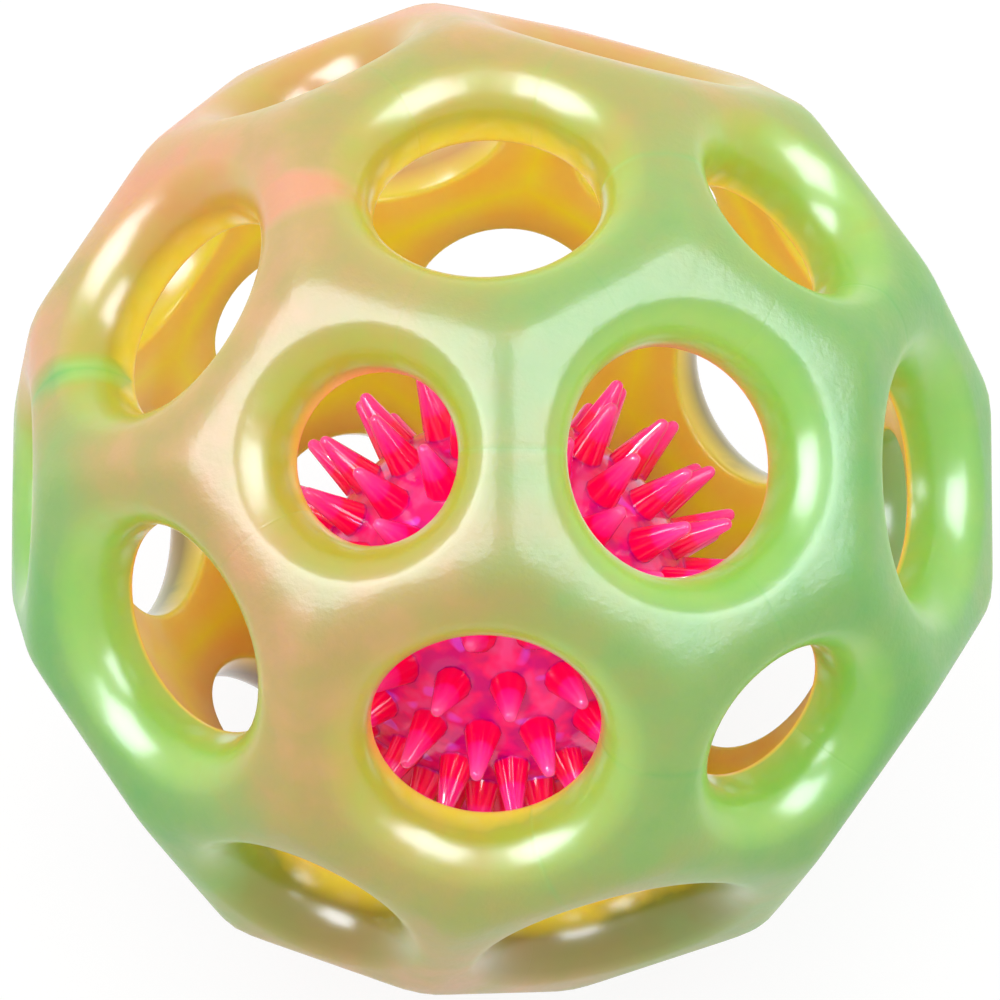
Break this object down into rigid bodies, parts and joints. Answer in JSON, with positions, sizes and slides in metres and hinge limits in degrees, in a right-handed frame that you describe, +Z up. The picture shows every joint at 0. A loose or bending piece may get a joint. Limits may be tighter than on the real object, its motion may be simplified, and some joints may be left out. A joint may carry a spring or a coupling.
{
  "type": "light-up cage ball toy",
  "caption": "Soft rubber cage ball with a flared round opening in every face and a loose spiky ball inside that holds a shake-switched flashing light.",
  "frame": {"origin": "centre of the cage", "axes": "+Z up through the hexagon opposite the one the toy rests on, +X towards the pentagon beside that top hexagon"},
  "size_m": [0.1106, 0.1096, 0.103],
  "materials": {
    "pearl_rubber": "soft pearl thermoplastic rubber that shifts from peach through cream to mint green",
    "pink_rubber": "soft see-through hot pink thermoplastic rubber",
    "clear_plastic": "clear moulded plastic",
    "green_board": "solder-masked board",
    "black_resin": "cured drop of resin",
    "red_lens": "tinted clear resin lens",
    "blue_lens": "tinted clear resin lens",
    "tinned_wire": "tinned wire",
    "white_plastic": "moulded sleeve",
    "cell_steel": "nickel-plated can",
    "contact_brass": "stamped strip",
    "spring_steel": "drawn spring wire"
  },
  "bodies": {
    "cage": {"cage": "pearl_rubber"},
    "ball": {"spiky_shell_upper": "pink_rubber", "spiky_shell_lower": "pink_rubber", "capsule_cup": "clear_plastic", "capsule_lid": "clear_plastic", "circuit_board": "green_board", "driver_chip": "black_resin", "red_lamp": "red_lens", "blue_lamp": "blue_lens", "lamp_leads": "tinned_wire", "cell_sleeve": "white_plastic", "lower_cell": "cell_steel", "middle_cell": "cell_steel", "upper_cell": "cell_steel", "positive_contact": "contact_brass", "negative_contact": "contact_brass", "spring_post": "contact_brass", "contact_pin": "tinned_wire"},
    "spring": {"motion_spring": "spring_steel"}
  },
  "joints": [
    {"name": "ball_rattle", "type": "slide", "parent": "cage", "child": "ball", "axis": [0, 0, 1], "range_m": [0, 0.036]},
    {"name": "spring_lean", "type": "hinge", "parent": "ball", "child": "spring", "pos_m": [0, -0.0042, -0.0161], "axis": [1, 0, 0], "range_deg": [-7, 7], "stiffness_Nm_per_rad": 0.00001}
  ]
}
